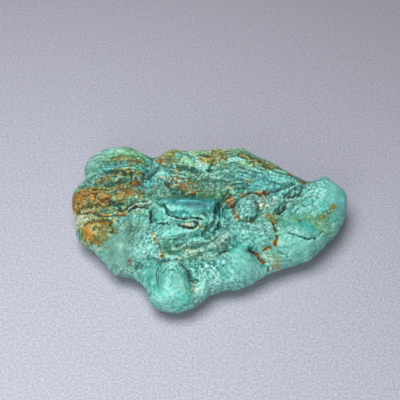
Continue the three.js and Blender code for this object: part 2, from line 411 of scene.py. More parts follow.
# Folds: half width, depth, then the path. They are carved before the fine relief.
FOLDS = [
    (0.9, 1,
     [(4.4, 5.4), (2.8, 4), (1.9, 2.2), (1.7, 0), (1.3, -2.2), (-0.3, -4.1), (-1.6, -5)]),
    (0.8, 0.6, [(-0.3, -4.1), (-2.6, -5.3), (-6.4, -6)]),
    (1, 0.5, [(3.1, 4.4), (2.9, 2.4), (2.7, 0.8), (2.3, -0.8)]),
    (0.45, 0.5,
     [(5.4, 4.4), (4.3, 2.9), (4.1, 0.7), (5.1, -1.3), (6.9, -1.9), (8.5, -1), (9, 1), (8.3, 2.9)]),
    (0.5, 0.6,
     [(-9.2, 2.4), (-8.7, 0.6), (-7.4, -1), (-5.2, -1.8), (-3.1, -2), (-1.2, -2.1), (0.4, -1.8)]),
    (0.8, 0.6, [(-5.1, -9), (-4.4, -10.2), (-3.6, -11.6), (-2.8, -12.9), (-2.3, -14.4)]),
    (0.7, 0.5,
     [(-13.6, -9.4), (-11.3, -9.3), (-9.2, -8.9), (-7.2, -9.1), (-5.2, -9), (-2.4, -8.3), (-0.3, -8.3),
      (1.4, -7.9), (3.2, -6.2), (4.2, -5.4)]),
    (0.7, 0.3, [(6.3, -7.1), (7.4, -7.3), (8.4, -7.7), (9.3, -8.5), (10.1, -9.3)]),
    (0.7, 0.5, [(12, 0.1), (12.6, 1.2), (13.4, 2.6), (14, 3.7), (15.1, 4.5), (16.1, 5), (17.5, 6.4)]),
    (0.6, 0.5, [(9.5, 4.6), (11.3, 4.8), (13.4, 5.3), (15.8, 6.3)]),
    (0.7, 0.6, [(-9.4, 12), (-9.8, 10), (-11.4, 9.4), (-12.5, 8.5)]),
    (0.6, 0.5, [(-19, 4), (-16.7, 3.1), (-15.4, 2.4), (-13.9, 2.9), (-12.5, 3.4), (-10.8, 3.4)]),
    (0.6, 0.5, [(-15, 1.9), (-13.7, 2.3), (-12.1, 2.4), (-10.6, 1.8), (-10.4, 0), (-10.1, -2.4)]),
    (0.5, 0.25, [(13.3, -3.4), (14.8, -4.5), (16.2, -4.8), (17.6, -4.6), (19.2, -3.6), (20.6, -2)]),
    (0.5, 0.25, [(-23.4, 2), (-20.6, 1.6), (-18.2, 0.9), (-16.4, 1), (-14.6, 0.8)]),
    (0.7, 0.5, [(-24.4, 8.4), (-22, 7.9), (-19, 7.8), (-16.2, 8.3), (-13.8, 8.9)]),
    (0.5, 0.4, [(-25, 2.6), (-22.8, 2.6), (-20.6, 3.1), (-19, 3.4)]),
    (0.5, 0.4, [(-20.4, 6.9), (-20.7, 5.2), (-19.6, 3.8), (-17.6, 4.2)]),
    (0.5, 0.4, [(-22.8, -0.4), (-20.6, 0.2), (-18.4, -0.2), (-17.2, -1.8), (-17.4, -4)]),
    (0.4, 0.3, [(-20.8, -2.9), (-20.2, -1.9), (-19.2, -2.4)]),
    (0.6, 0.4, [(-8.3, 7.6), (-6.6, 5.6), (-4.4, 4.8), (-2, 4.8)]),
    (0.5, 0.4, [(-0.6, 9.2), (-2.2, 9.2), (-4.4, 9.8), (-6.6, 10.2)]),
    (0.5, 0.4, [(-0.3, 9), (0.6, 10.4), (0, 11.6), (-2.4, 12.6)]),
]

# Seams, carved after it: half width, depth, darkness, rust beside it, then the path. The darkness is
# partly the seams' dark filling and partly painted shade in the creases, as under the block's front and
# in the groove beside it.
SEAMS = [
    (0.22, 0.45, 1, 0, [(-8.4, 1.2), (-7.4, -1), (-5.2, -1.8), (-3.1, -2), (-1.2, -2.1)]),
    (0.25, 0.35, 0.9, 0, [(-9.8, -2.1), (-8.2, -2.7), (-6.9, -3.4)]),
    (0.3, 0.45, 1, 0, [(-5.9, -3.2), (-4.5, -3.9), (-3.1, -4.2), (-2.2, -3.4), (-3.2, -2.6)]),
    (0.3, 0.4, 0.9, 0, [(3.3, 4.4), (3.9, 4.7)]),
    (0.25, 0.35, 0.8, 0, [(2, 3.8), (1.8, 1.4), (1.7, -0.6), (1.4, -2.2), (0.2, -3.9)]),
    (0.2, 0.4, 0.9, 0.3,
     [(-18.3, 3.7), (-16.7, 3.1), (-15.4, 2.3), (-13.9, 2.9), (-12.5, 3.4), (-11.2, 3.5)]),
    (0.2, 0.45, 1, 0.4, [(-15, 1.9), (-13.7, 2.4), (-12.1, 2.4), (-10.6, 1.9)]),
    (0.22, 0.4, 1, 0, [(-10.5, 1.9), (-10.4, 0.1), (-10.1, -2.2)]),
    (0.2, 0.2, 0.15, 0.7, [(-23.4, 2), (-20.6, 1.7), (-18.2, 0.9), (-16.4, 1.1), (-14.6, 0.8)]),
    (0.28, 0.4, 0.8, 0, [(-9.6, 11), (-9.9, 9.9), (-11.4, 9.4), (-12.5, 8.5)]),
    (0.3, 0.45, 0.6, 0.5, [(-4.8, -9.3), (-4.1, -10.6), (-3.3, -12), (-2.6, -13.3)]),
    (0.22, 0.3, 0.5, 0, [(-8.9, -10.2), (-9.4, -11.6), (-9.1, -13.7)]),
    (0.22, 0.3, 0.6, 0.1, [(-9.2, -8.9), (-7.2, -9.1), (-5.2, -9)]),
    (0.22, 0.35, 0.8, 0, [(1.4, -7.9), (2.4, -7), (3.2, -6.2)]),
    (0.15, 0.3, 0.7, 0, [(13.7, -3.9), (14.8, -4.5), (16.2, -4.7), (17.6, -4.6), (19.2, -3.6)]),
    (0.24, 0.5, 1, 0, [(12, 0.1), (12.6, 1.2), (13.4, 2.4), (14.2, 3.3)]),
    (0.22, 0.35, 0.8, 0, [(13.9, 3.8), (15.1, 4.4), (16.1, 4.9), (17.1, 6.1)]),
    (0.15, 0.2, 0.5, 0, [(11.6, -6.8), (12.8, -7.1), (14.1, -7.3)]),
    (0.3, 0.2, 0, 1, [(6.6, -7.1), (7.6, -7.3), (8.4, -7.7), (9.3, -8.5), (10, -9)]),
    (0.25, 0.25, 0.6, 0.2, [(10, -8.5), (10.2, -9.2), (10.1, -9.8)]),
    (0.25, 0.3, 0.5, 0.8, [(5.6, 4.6), (6.9, 5.4), (8.2, 4.6), (9.5, 4.4), (10.4, 5.2)]),
    (0.22, 0.3, 0.7, 0, [(9.5, 4.6), (11.3, 4.8), (13.4, 5.3), (15.8, 6.3)]),
    (0.22, 0.3, 0.1, 0.9, [(11.1, -0.8), (11.4, -2.6), (11.8, -4.2)]),
    (0.22, 0.3, 0.1, 0.9, [(11.8, -4.2), (11.6, -5.5), (11.2, -6.4)]),
    (0.2, 0.25, 0.2, 0.9, [(9.1, -7.1), (10.2, -6.6), (11.2, -6.2)]),
    (0.16, 0.16, 0.3, 0,
     [(-8.7, -13.4), (-8.8, -11.9), (-7.8, -10.8), (-6.3, -10.7), (-5, -11.4)]),
    (0.16, 0.16, 0.3, 0,
     [(-7.9, -13.6), (-7.9, -12.3), (-7, -11.6), (-5.9, -11.7), (-5.1, -12.6)]),
    (0.16, 0.16, 0.3, 0, [(-7.1, -13.5), (-6.9, -12.6), (-6.2, -12.5), (-5.7, -13.2)]),
    (0.17, 0.2, 0.55, 0, [(-2.8, -9.6), (-1.9, -11.4), (-0.8, -13)]),
    (0.17, 0.2, 0.55, 0, [(-1.9, -9.5), (-0.9, -11.1), (0.3, -12.7)]),
    (0.17, 0.2, 0.55, 0, [(-0.9, -9.4), (0.2, -10.9), (1.4, -12.3)]),
    (0.17, 0.2, 0.5, 0, [(0.3, -9.4), (1.2, -10.6), (2.3, -11.9)]),
]

# Veins that only colour the surface: the mask they join, half width, strength, then the path.
VEINS = [
    ("olive", 0.35, 0.9, [(-10.6, -4), (-9.8, -5.2), (-8.9, -6.7), (-8.3, -8)]),
    ("cream", 0.25, 0.8, [(-10.3, -4.2), (-9.5, -5.5), (-8.6, -7)]),
    ("cream", 0.5, 1.3, [(4.6, 2.6), (4.3, 1.2), (4.6, -0.3), (5.6, -1.5)]),
    ("rust", 0.25, 0.5, [(4.2, 1.8), (4.1, 0.6), (4.4, -0.6), (5.4, -1.8)]),
    ("olive", 0.35, 0.9, [(5.8, -1.7), (7.1, -1.7), (8.2, -1)]),
    ("cream", 0.3, 0.8, [(8, -0.9), (8.5, 0.6), (7.9, 2)]),
    ("olive", 0.6, 0.9, [(9.4, -0.4), (10.6, -0.2), (11.6, -0.8), (11.2, -2.4)]),
    ("rust", 0.4, 1.1, [(-21.8, -3.2), (-21.4, -1.4), (-19.8, -0.6), (-18.4, -1.2)]),
    ("rust", 0.3, 0.9, [(-21.6, -3), (-20.6, -4.2), (-19.2, -4.6)]),
    ("rust", 0.25, 0.8, [(-19.8, 1.9), (-18.2, 1.1), (-16, 1.2), (-14, 0.9)]),
    ("cream", 0.25, 0.7, [(-16, 2.6), (-14.4, 2.8), (-12.6, 2.9), (-11, 2.5)]),
    ("cream", 0.5, 1.1, [(9.9, 11.1), (11.3, 10.4), (12.7, 9.3)]),
    ("rust", 0.5, 1, [(13.9, 7.9), (15.2, 7.5), (16.6, 7), (17.8, 6.2)]),
    ("olive", 0.7, 1, [(4.4, 12), (6.8, 11.6), (9.4, 10.5), (11.4, 9.3)]),
    ("pale", 0.5, 1, [(-5.8, 13.4), (-4.2, 12.6), (-2.6, 11.4), (-1.5, 10.2)]),
    ("cream", 0.25, 0.9, [(-4.6, 13.6), (-3, 12.9), (-1.4, 12.6)]),
]

# The run of the stone's grain: paths that the streaks follow.
GRAIN = [
    [(-22.5, 12.9), (-20.2, 12.9), (-16.4, 12.3), (-12.7, 12.2), (-10.5, 11.3)],
    [(-22.4, 10.4), (-19.1, 10.1), (-15.4, 9.9), (-11.8, 10.2), (-9.9, 8.6)],
    [(-24.6, 6.4), (-20.7, 4.8), (-16.2, 5.7), (-11.7, 6.6)],
    [(-23.4, 2.6), (-18.8, 2.1), (-14.3, 2.2), (-10.6, 2.1)],
    [(-21.6, -2.8), (-21.3, -1.1), (-19.5, -0.6), (-18, -2.3), (-18.3, -4.1), (-20.1, -4.2)],
    [(-19.2, -6.3), (-16.5, -7.2), (-14.8, -5.4), (-14.1, -1.7)],
    [(-16.1, -9.6), (-14.3, -8.9), (-12.8, -7.3)],
    [(-12.5, -8.8), (-11.1, -7.7), (-9.7, -5), (-9.5, -2.8)],
    [(-8.1, -7.3), (-5.2, -6.6), (-1.7, -6.4), (2.2, -5.5)],
    [(-8.7, -9), (-6.1, -8.7), (-2.6, -8.1)],
    [(-8.9, -14.9), (-9.3, -11.9), (-8.2, -10.9), (-6, -11.3), (-4.1, -11.7), (-3.5, -13.7)],
    [(-8.5, -16.5), (-6, -16.6), (-3.4, -15.8), (-1.7, -14.4)],
    [(-2.1, -9.8), (-0.5, -12), (1.1, -13)],
    [(3.2, -7.3), (5.2, -10), (7.9, -10.8)],
    [(13.2, -6.7), (15.8, -5.8), (19.6, -3.9), (22.5, -1.5)],
    [(12.3, -8.1), (15.9, -6.9), (19.6, -4.6)],
    [(14, 1), (16.2, 2.4), (18.8, 2.6), (21.5, 3)],
    [(13.3, -2.3), (16.9, -0.8), (20.5, 0.4), (23.5, 2.3)],
    [(16.3, 4.9), (18.5, 6.2), (20.8, 6.3), (23.6, 5.7)],
    [(-5.2, 11.7), (-3.1, 10.9), (-1.1, 9.5)],
    [(-0.8, 9.6), (2.3, 10.8), (5.6, 11.3), (8.5, 9.6), (11.9, 7.6), (16, 6.4)],
    [(-6.3, 9.2), (-2.6, 8), (1.2, 8.2), (6.5, 7.4), (12.3, 5.4)],
    [(-8.1, 6.7), (-3.5, 6.1), (1, 6.1), (5.6, 6.3)],
    [(-8.8, 1.7), (-3.5, 1), (1.8, 1.4)],
    [(4.8, 5.6), (3, 3.3), (2.2, 0.8), (0.9, -2.9), (-2.1, -5.2), (-6.1, -6)],
]
GRAIN_REACH = 2.2  # how far to each side a path steers the grain
GRAIN_OUTER = 2.5  # where it stops steering it at all, in reaches
LEVEL_GRAIN = 0.02  # weight of the level direction, which the grain takes far from every path
LEVEL_ON_TOP = 0.3  # leans that direction to +X where the surface is level

# Worn, smoother places: x, y, half length, half width, strength, and any turn.
SMOOTH = [
    (-16.6, -6.8, 4.2, 3.4, 1, -40), (6.4, -8.8, 4, 2.8, 1, 30), (15.8, -6.2, 6.2, 2.4, 1, 20),
    (-7, -14.6, 3.6, 3.6, 1), (-10.6, -11.4, 1.8, 2.6, 0.8), (23, 4.6, 2.4, 5, 1, -10),
    (20.6, 8.4, 4.2, 2, 0.9), (17.4, -1.4, 4.4, 1.6, 0.7, -6), (-2.9, 0.9, 5.6, 1.8, 0.8, -2),
    (-17, 13, 6, 3.6, 0.5),
]

# Grainy, sugary places, in the same form.
GRAINY = [
    (7, -4.2, 4, 2.8, 1), (6.3, 1, 2, 2.6, 0.8), (-11, -7, 2.4, 2.8, 0.9, -20),
    (10.2, 2.6, 2.2, 2.2, 0.8), (15.4, 3, 2.2, 2.4, 0.8), (19.4, 4.4, 2.6, 2, 0.9),
    (0.4, -11.6, 2, 2.6, 0.4, -50), (-6, 7.2, 3, 1.6, 0.8), (-15, 6.4, 4, 2.2, 0.6),
    (-21.5, 4.6, 3, 2.6, 0.7), (2, -6, 2.2, 1.6, 0.7),
]

# Places where the grain stands out as strands, in the same form.
STRANDED = [
    (-17, 12, 7.5, 5, 0.75), (4, 10, 12, 4.5, 0.75, -6), (-7, -13, 3.4, 3.4, 0.5),
    (-0.2, -11.6, 2.8, 3, 1, -50), (-3, -7, 6, 2.4, 0.6), (15, -6, 6, 2.4, 0.2, 20), (-17, 3, 7, 2, 0.2),
]

# How a stroke along a path is drawn: how far out it is worked out, in half widths, the length in
# millimetres over which its ends fade, and how much its width wanders, between two limits.
CUT_STROKE = {"reach": 5, "fade": 0.8, "wander": 0.8, "least": 0.35, "most": 2}
VEIN_STROKE = {"reach": 4, "fade": 0.6, "wander": 0.5, "least": 0.4, "most": 1.8}
RUST_WIDTH = 1.9  # half widths of a seam that the rust beside it spreads over

# Heights of the fine relief, in millimetres.
UNEVENNESS = 0.28
BROAD_STREAKS = 0.10
NARROW_STREAKS = 0.06
LUMPS = 0.16
COARSE_GRAINS = 0.10
COARSE_IN_GRAINY = 0.30  # more of them in the grainy places
FINE_GRAINS = 0.06
FINE_IN_GRAINY = 0.16
PITS = 0.30
CRACK_LINES = 0.14
CRACK_WIDTH = 0.13  # how near 0 the noise is at a crack
HOLLOW_ROUNDS = 6  # of evening out, to find the hollows
HOLLOW_LIMIT = 3  # in standard deviations


def build_blocks(surface):
    """Raise the blocks and the swells out of the upper side."""
    places = surface.places
    facing_up = smooth_step(0, 0.3, surface.normals[:, 2])
    walls = np.zeros(len(places))
    for x, y, along, across, turn, top, fall in SLABS:
        forward, sideways = turned(places - (x, y, 0), turn)
        reach = np.where(sideways > 0, SLAB_REACH_BACK * across, across)
        ragged = SLAB_RAGGED * unit_noise(places, cell=2.2, seed=31)
        rim = (np.abs(forward / along) ** 3 + np.abs(sideways / reach) ** 3) ** (1 / 3) + ragged
        full = SLAB_RIM_FULL - SLAB_RIM_RIGHT * np.clip(forward / along, 0, 1)
        share = facing_up * (1 - smooth_step(full, SLAB_RIM_NONE, rim))
        level = top + fall * sideways
        level -= SLAB_BACK_FALL * np.maximum(sideways - SLAB_BACK_BRINK * across, 0)
        brink = SLAB_BRINK_SKEW * np.maximum(forward, 0) - SLAB_FRONT_BRINK * across
        level -= SLAB_FRONT_FALL * np.maximum(brink - sideways, 0)
        lift = level - places[:, 2]
        places[:, 2] += share * np.where(sideways > 0, np.maximum(lift, 0), lift)
        walls = np.maximum(walls, facing_up * (1 - smooth_step(*SLAB_EVENED, rim)))
    for x, y, along, across, strength, *turn in SWELLS:
        places[:, 2] += facing_up * strength * surface.patch(x, y, along, across, *turn)
    surface.move(walls[:, None] * (surface.evened(SLAB_EVEN_ROUNDS) - places))


def stroke(surface, path, half_width, wander, style):
    """The vertices near a path, their gap to it, the fade of its ends and their share of the stroke."""
    near, gap, way, _, length = surface.along(path, half_width * style["reach"])
    ends = smooth_step(0, style["fade"], way) * smooth_step(0, style["fade"], length - way)
    width = half_width * np.clip(1 + style["wander"] * wander[near], style["least"], style["most"])
    return near, gap, ends, ends * np.exp(-(gap / width) ** 2)


def carve(surface, rows, wander):
    """How deep the folds or seams cut each vertex, and the darkest and rustiest share of any."""
    depth_here = np.zeros(len(surface.places))
    dark = np.zeros(len(surface.places))
    rusty = np.zeros(len(surface.places))
    for half_width, depth, darkness, rust, path in rows:
        near, gap, ends, cut = stroke(surface, path, half_width, wander, CUT_STROKE)
        beside = ends * np.exp(-(gap / (RUST_WIDTH * half_width)) ** 2)
        depth_here[near] = np.maximum(depth_here[near], depth * cut)
        dark[near] = np.maximum(dark[near], darkness * cut)
        rusty[near] = np.maximum(rusty[near], rust * beside)
    return depth_here, dark, rusty


def grain_direction(surface):
    """The direction of the stone's grain at each vertex, which follows the grain paths near it."""
    level = np.cross(surface.normals, (0, 0, 1))
    level += (LEVEL_ON_TOP, 0, 0)
    level /= np.linalg.norm(level, axis=1, keepdims=True)
    spread = LEVEL_GRAIN * level[:, :, None] * level[:, None, :]
    for path in GRAIN:
        near, gap, _, heading, _ = surface.along(path, GRAIN_OUTER * GRAIN_REACH)
        weight = np.exp(-(gap / GRAIN_REACH) ** 2)
        spread[near] += weight[:, None, None] * heading[:, :, None] * heading[:, None, :]
    _, axes = np.linalg.eigh(spread)
    flow = axes[:, :, 2]
    flow -= (flow * surface.normals).sum(axis=1, keepdims=True) * surface.normals
    return flow / np.maximum(np.linalg.norm(flow, axis=1, keepdims=True), 0.001)


def streaks(surface, flow, cell, reach, seed, steps=9):
    """Noise drawn out along the grain, with a spread of 1."""
    total = np.zeros(len(surface.places))
    for offset in np.linspace(-reach, reach, steps):
        share = 1 - 0.7 * abs(offset) / reach
        total += share * unit_noise(surface.places + offset * flow, cell, seed)
    return total / total.std()


def shape_stone(stone):
    """Move the fine mesh's vertices into the stone's relief and return its colour masks."""
    surface = Surface(stone.data)
    build_blocks(surface)
    wander = rough_noise(surface.places, cell=2, seed=71, octaves=3)
    folds = [(half_width, depth, 0, 0, path) for half_width, depth, path in FOLDS]
    depth, _, _ = carve(surface, folds, wander)
    uneven = rough_noise(surface.places, cell=3.4, seed=11, octaves=2)
    surface.raise_by(UNEVENNESS * uneven - depth)

    flow = grain_direction(surface)
    broad = streaks(surface, flow, cell=1.2, reach=3.2, seed=41)
    narrow = streaks(surface, flow, cell=0.5, reach=1.8, seed=42)
    smooth = surface.patches(SMOOTH)
    grainy = surface.patches(GRAINY)
    stranded = surface.patches(STRANDED)
    rough = np.clip(1 - 0.75 * smooth, 0.2, 1)
    coarse_grain = grain_distance(surface.places + 0.15 * flow, cell=0.75, seed=21)
    fine_grain = grain_distance(surface.places, cell=0.42, seed=22)
    lumps = rough_noise(surface.places, cell=1.8, seed=61, octaves=3)
    pitted = rough_noise(surface.places, cell=1.1, seed=51, octaves=3)
    strands = (0.25 + 0.75 * stranded) * (1 - 0.45 * smooth)
    relief = strands * (BROAD_STREAKS * broad + NARROW_STREAKS * narrow)
    relief += LUMPS * rough * (1 - 0.6 * stranded) * lumps
    grains = (COARSE_GRAINS + COARSE_IN_GRAINY * grainy) * rough * (0.45 - coarse_grain)
    grains += (FINE_GRAINS + FINE_IN_GRAINY * grainy) * rough * (0.4 - fine_grain)
    relief += grains
    relief -= PITS * rough * smooth_step(0.9, 1.6, pitted)

    # Hair cracks run where a noise drawn out along the grain passes through 0.
    line_noise = streaks(surface, flow, cell=1.5, reach=2, seed=43, steps=5) + 0.5 * lumps
    cracked = rough_noise(surface.places, cell=3, seed=62, octaves=2) + 0.6 * grainy - 0.8 * smooth
    lines = smooth_step(0, 1, cracked) * np.exp(-(line_noise / CRACK_WIDTH) ** 2)
    relief -= CRACK_LINES * lines
    surface.raise_by(relief)

    depth, dark, rusty = carve(surface, SEAMS, wander)
    surface.raise_by(-depth)
    # How hollow each vertex lies, kept so that the material can darken hollows as painted shade.
    hollow = ((surface.evened(HOLLOW_ROUNDS) - surface.places) * surface.normals).sum(axis=1)

    masks = {name: surface.patches(rows) for name, rows in PATCHES.items()}
    masks["rust"] = np.maximum(masks["rust"], rusty)
    for name, half_width, strength, path in VEINS:
        near, _, _, share = stroke(surface, path, half_width, wander, VEIN_STROKE)
        masks[name][near] = np.maximum(masks[name][near], strength * share)
    # The seams' darkness: partly dark filling, partly painted shade in the creases.
    masks["seam_and_crease_shade"] = dark
    masks["lines"] = lines
    masks["streak"] = strands * (0.6 * broad + 0.7 * narrow)
    masks["hollow"] = np.clip(hollow / hollow.std(), -HOLLOW_LIMIT, HOLLOW_LIMIT)
    masks["smooth"] = smooth
    masks["rough"] = grainy - smooth
    return masks


# ------------ colour patches

# x, y, half length, half width, strength, any turn. One set darkens the tone, mostly as painted shade and
# partly as darker stone; another lightens it, mostly as painted light and highlights and partly as
# brighter rust.
PATCHES = {}
PATCHES["deep"] = [
    (17.3, -3, 1.6, 0.8, 0.5), (21.4, 7.6, 3.6, 1, 0.45), (-10.4, 7.2, 1.4, 1.5, 0.9),
    (-1.8, 0.6, 6, 1.25, 1.3, -2), (-0.4, 0, 2.4, 1.3, 0.9), (9.6, 6.5, 4.6, 1.7, 0.7, -14),
    (5.5, 8, 4, 1.2, 0.5, -5), (-10.6, 8.6, 1.8, 1.8, 0.8, 30), (-11.2, 7.2, 1, 1.8, 0.7),
    (1, -3, 1.4, 1.4, 0.5, -30), (1.7, 1.2, 0.6, 3, 0.6), (4.6, -6.6, 1.6, 1.8, 0.6),
    (0.2, 0.2, 1.6, 2, 0.7), (-3, 3, 6, 0.9, 0.5), (-17.8, 10.6, 3.4, 0.6, 0.9),
    (-10.8, 10.8, 2.2, 1.6, 0.6), (-12.6, 3.1, 2.2, 0.5, 0.5), (1.6, -9.4, 1.6, 0.8, 0.4, 30),
]
# Saturated cyan stone, partly painted light: it brightens the right-hand rim and some fronts, which the
# lamps leave darker.
PATCHES["cyan_and_painted_light"] = [
    (23.2, 4.2, 2.8, 4.4, 1.1), (19.8, 0.9, 1.8, 0.8, 0.9, 20), (17, 1.8, 2.4, 0.9, 0.6, 10),
    (17.3, -2.8, 2.2, 1.2, 0.8), (20, 8.6, 3.2, 1.2, 0.8), (-5.6, -1.2, 3.6, 0.7, 1, -4),
    (-11.8, 6.4, 1.2, 1.8, 0.9), (-8.4, 8.8, 1.8, 0.7, 0.7, -10), (-5.6, -16, 3.4, 1.6, 0.6),
    (-9.6, -12.6, 1.4, 2.6, 0.5), (4.6, -7.4, 1.6, 1.8, 0.7), (-6.4, -4.4, 3, 1, 0.6),
    (-8.8, -1.4, 1, 2, 0.7), (12.6, 6.4, 2.4, 1, 0.5, -20), (7.4, -5.4, 1.6, 0.8, 0.6),
]
PATCHES["dull"] = [
    (1.6, -5.6, 2.4, 2, 0.9), (-16, -6.5, 5, 5.4, 0.95), (-3, -7.4, 6, 2, 0.5),
    (-11.4, -5.4, 2.4, 3.4, 0.5), (-21.4, 11, 2.8, 4.6, 0.9), (-19, 14, 3.4, 1.2, 0.7),
    (8.4, 2.8, 4, 3, 0.55), (14.6, 3.4, 2.2, 2.4, 0.4), (12, -7.6, 3, 2.4, 0.6), (2, 8, 6, 3, 0.5, -4),
    (-7, 7.6, 3.4, 3.4, 0.5), (-1, -10, 4, 1, 0.4),
]
# Pale stone, partly painted light: it also brightens the fronts of the toe and fold and the right-hand
# lobe, which the lamps leave darker.
PATCHES["pale"] = [
    (-8.2, 9, 1.8, 0.9, 1.1, -10), (20, 3.4, 4.5, 4.2, 0.7), (19.6, 4.4, 2.2, 1.6, 1),
    (16.4, 1.6, 2.4, 1, 0.7, 20), (16, -5.8, 7, 2.4, 0.6, 20), (-7, -15.6, 2.8, 1.8, 0.6),
    (-7.4, -12.4, 2.6, 2, 0.2), (0.6, -12, 2.4, 3.2, 0.9, -50), (5.4, -10.8, 3.6, 2.4, 0.6, 20),
    (-6.2, -1.3, 3, 0.6, 1.3, -4), (-7.2, 0.2, 1, 1, 0.6), (20, 8.6, 3, 1.2, 0.6),
    (-0.8, -14, 2.2, 1.8, 0.9, 20), (7, -4.4, 4.4, 3, 0.65), (6.4, 1, 1.8, 2.2, 0.4),
    (-7.8, -4.6, 2.4, 1.2, 0.6), (-11.2, -7.2, 2.6, 3, 0.75), (-3.6, -4.8, 4.6, 1.1, 0.7),
    (-2.6, -11.8, 1.4, 3.4, 0.6, 10), (11.8, -7.4, 3.4, 1.5, 0.6, 10), (1, 10.7, 2.6, 0.5, 0.9, 25),
    (4.7, 11.1, 2.4, 0.5, 0.9), (-1.2, 10.1, 0.9, 1, 1, -40), (-19.5, 14.4, 3.2, 0.8, 0.6, -20),
    (-9.3, 9.4, 1.6, 0.7, 0.7), (-11.8, 6.4, 1, 1.4, 0.9),
]
PATCHES["green"] = [
    (-4.2, -7.2, 6, 2.2, 0.6), (0.6, -6.2, 3, 1.2, 0.6), (-2.4, 8, 7, 2.8, 0.72, -4), (0, 12, 9, 3, 0.85),
    (7.2, 10.4, 5, 1.6, 0.75, -8), (-16.6, 12.4, 7.2, 4.4, 0.8), (-17.6, 5.4, 7.6, 4.6, 0.9),
    (-21, -0.4, 4.6, 4.6, 0.85), (18.4, -1.4, 4.8, 1.5, 0.8, -4), (18, -5.6, 6, 1.6, 0.5, 22),
    (11.2, -0.2, 1.8, 2.2, 0.7), (11.8, -7.8, 2.6, 1.6, 0.75, -10), (14, -5, 7, 3, 0.35, 15),
    (-14, -2.6, 1.6, 2.6, 0.8), (-16, -6.5, 4.5, 4.5, 0.5), (-2, 5, 8, 1.8, 0.85),
    (-3, -14.6, 1.4, 1.6, 0.6), (-5.4, 5, 6, 1, 0.7), (21.4, 0.4, 2.4, 1, 0.5, 30),
    (15.6, 7.2, 3.6, 1, 0.6, -20),
]
PATCHES["olive"] = [
    (-16, 9.5, 4.6, 0.5, 0.7), (-16.8, 11.7, 2.4, 0.4, 0.8), (-18.6, 9, 5, 0.8, 0.55),
    (-15.5, 11.2, 4.6, 0.7, 0.75, 2), (-18, 7.2, 4.4, 1.4, 0.7), (-15.2, 5.2, 5.2, 1.9, 0.75, 6),
    (-22, 4.8, 4.6, 3.2, 1.3), (-20.6, -1.8, 3.6, 3.4, 1.2), (-23, 1.6, 3, 2, 0.7),
    (-13.6, 2.4, 3.6, 1.4, 0.6), (-5.4, 12.6, 3.4, 1, 0.6), (3.4, 12.6, 4.6, 1, 0.7),
    (11.6, -8.6, 1.8, 1.2, 0.55), (1.2, 11.8, 2.6, 1.2, 1, 10), (9.2, 10.5, 3, 1.2, 1, -28),
    (-8, 11.8, 2.4, 1.6, 0.65), (-5, 6.6, 3.4, 1.5, 0.6), (-6, 9.4, 2.6, 0.7, 0.5),
    (22, 1.6, 1, 0.7, 0.9, 30), (20.8, 0.2, 1.6, 0.6, 0.7, 30), (7.2, 7.2, 0.8, 0.6, 0.8),
    (11.4, -7.9, 1.4, 0.8, 0.6, -20), (-2.2, -7.1, 1.8, 0.6, 0.3), (-3, -3.6, 2.6, 0.6, 0.6),
    (4, 6.4, 2.6, 0.6, 0.5), (-17, 2, 4, 0.9, 0.6),
]
PATCHES["rust"] = [
    (4.1, 2.9, 0.9, 1.1, 0.9), (6.9, 4.7, 0.9, 0.6, 1.2), (-23.1, 4.8, 2.2, 2, 0.8),
    (-24.6, 4.8, 1.4, 2.6, 0.9), (-21, 4.4, 2.2, 1.2, 0.7, -10), (-18.8, 4.2, 1.4, 0.7, 0.8),
    (-13.4, 7.6, 1.5, 1.5, 0.8), (-13.6, 5, 2.6, 1, 0.6, 10), (-21.6, -2.6, 0.6, 1.6, 1.3, 15),
    (-18.4, -0.9, 1.5, 0.4, 0.7, 20), (-18, -2.8, 0.5, 1.2, 0.3, -10), (-5.8, 7.4, 1.1, 0.9, 0.8),
    (-4.8, 6.2, 1.1, 1.2, 0.8), (-7.3, 7.1, 0.7, 0.7, 0.8), (-3, 5.2, 1, 0.6, 0.6),
    (-8.8, 11.8, 1, 1.1, 0.8), (-9.6, 14, 0.6, 0.8, 0.7), (7.2, 5.1, 0.9, 0.7, 1),
    (10.2, 5, 0.5, 0.4, 0.8), (3.6, 4.1, 0.9, 1.2, 0.85), (4.6, 1.2, 0.3, 1.8, 0.3, 10),
    (-8.2, -8.2, 0.6, 0.6, 0.9), (-13.9, -8.6, 0.5, 0.7, 0.7), (-16.4, 1.4, 2.4, 0.5, 0.5),
    (-15, 6.4, 3.2, 2, 0.55),
]
